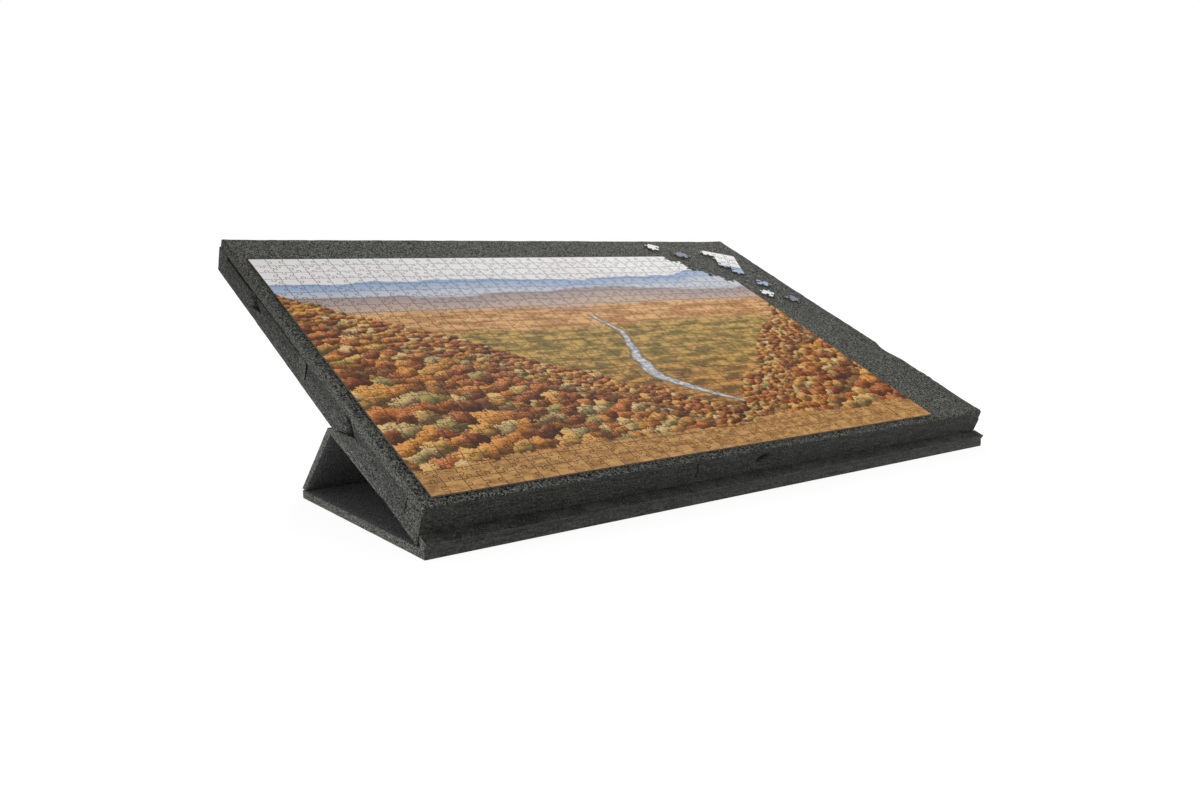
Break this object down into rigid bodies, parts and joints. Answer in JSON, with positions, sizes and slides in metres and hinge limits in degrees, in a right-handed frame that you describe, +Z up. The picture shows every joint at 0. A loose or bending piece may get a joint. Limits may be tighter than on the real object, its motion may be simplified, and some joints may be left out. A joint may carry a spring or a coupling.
{
  "type": "jigsaw puzzle board with drawers",
  "caption": "Tilted felt jigsaw puzzle board with shallow sliding drawers in its edges, a folding felt stand and a part-finished puzzle on top.",
  "frame": {"origin": "on the ground under the centre of the outline", "axes": "+X to the right along the width, +Y from the front edge to the back, +Z up"},
  "size_m": [0.788, 0.5258, 0.2657],
  "materials": {
    "board_felt": "dark grey pressed felt with fine pale fibres",
    "drawer_felt": "dark grey pressed felt",
    "stand_felt": "dark grey pressed felt, softly creased at its folds",
    "puzzle_print": "satin printed card, die cut",
    "corner_print": "satin printed card, die cut",
    "loose_print": "satin printed card, die cut"
  },
  "bodies": {
    "stand_base": {"base_sheet": "stand_felt", "front_lip": "stand_felt"},
    "stand_strut": {"strut_panel": "stand_felt"},
    "stand_flap": {"flap_panel": "stand_felt"},
    "board": {"top_panel": "board_felt", "bottom_panel": "board_felt", "back_rail": "board_felt", "front_rail_left": "board_felt", "front_rail_right": "board_felt", "side_divider_left": "board_felt", "side_divider_right": "board_felt", "centre_rail_left": "board_felt", "centre_rail_right": "board_felt", "cross_rail": "board_felt", "centre_rib": "board_felt", "front_drawer_shelf": "board_felt", "assembled_puzzle": "puzzle_print", "corner_pieces": "corner_print", "loose_piece_back": "loose_print", "loose_piece_corner": "loose_print", "loose_piece_sky": "loose_print", "loose_piece_middle": "loose_print", "loose_piece_right": "loose_print"},
    "left_near_drawer": {"left_near_drawer_front": "drawer_felt", "left_near_drawer_floor": "drawer_felt", "left_near_drawer_rim": "drawer_felt"},
    "right_near_drawer": {"right_near_drawer_front": "drawer_felt", "right_near_drawer_floor": "drawer_felt", "right_near_drawer_rim": "drawer_felt"},
    "left_far_drawer": {"left_far_drawer_front": "drawer_felt", "left_far_drawer_floor": "drawer_felt", "left_far_drawer_rim": "drawer_felt"},
    "right_far_drawer": {"right_far_drawer_front": "drawer_felt", "right_far_drawer_floor": "drawer_felt", "right_far_drawer_rim": "drawer_felt"},
    "front_drawer": {"front_drawer_front": "drawer_felt", "front_drawer_floor": "drawer_felt", "front_drawer_rim": "drawer_felt"}
  },
  "joints": [
    {"name": "board_lift", "type": "hinge", "parent": "stand_base", "child": "board", "pos_m": [0, -0.2498, 0.02003], "axis": [1, 0, 0], "range_deg": [0, 20]},
    {"name": "strut_fold", "type": "hinge", "parent": "stand_base", "child": "stand_strut", "pos_m": [0, 0.00886, 0.0091], "axis": [1, 0, 0], "range_deg": [0, 43]},
    {"name": "flap_fold", "type": "hinge", "parent": "stand_strut", "child": "stand_flap", "pos_m": [0, -0.06346, 0.0845], "axis": [1, 0, 0], "range_deg": [-66.5, 0]},
    {"name": "left_near_drawer_slide", "type": "slide", "parent": "board", "child": "left_near_drawer", "axis": [-1, 0, 0], "range_m": [0, 0.25]},
    {"name": "right_near_drawer_slide", "type": "slide", "parent": "board", "child": "right_near_drawer", "axis": [1, 0, 0], "range_m": [0, 0.25]},
    {"name": "left_far_drawer_slide", "type": "slide", "parent": "board", "child": "left_far_drawer", "axis": [-1, 0, 0], "range_m": [0, 0.25]},
    {"name": "right_far_drawer_slide", "type": "slide", "parent": "board", "child": "right_far_drawer", "axis": [1, 0, 0], "range_m": [0, 0.25]},
    {"name": "front_drawer_slide", "type": "slide", "parent": "board", "child": "front_drawer", "axis": [0, -0.9171, -0.3987], "range_m": [0, 0.055]}
  ],
  "couplings": [
    {"joint": "strut_fold", "follows": "board_lift", "ratio": 2.15},
    {"joint": "flap_fold", "follows": "board_lift", "ratio": -3.325}
  ]
}
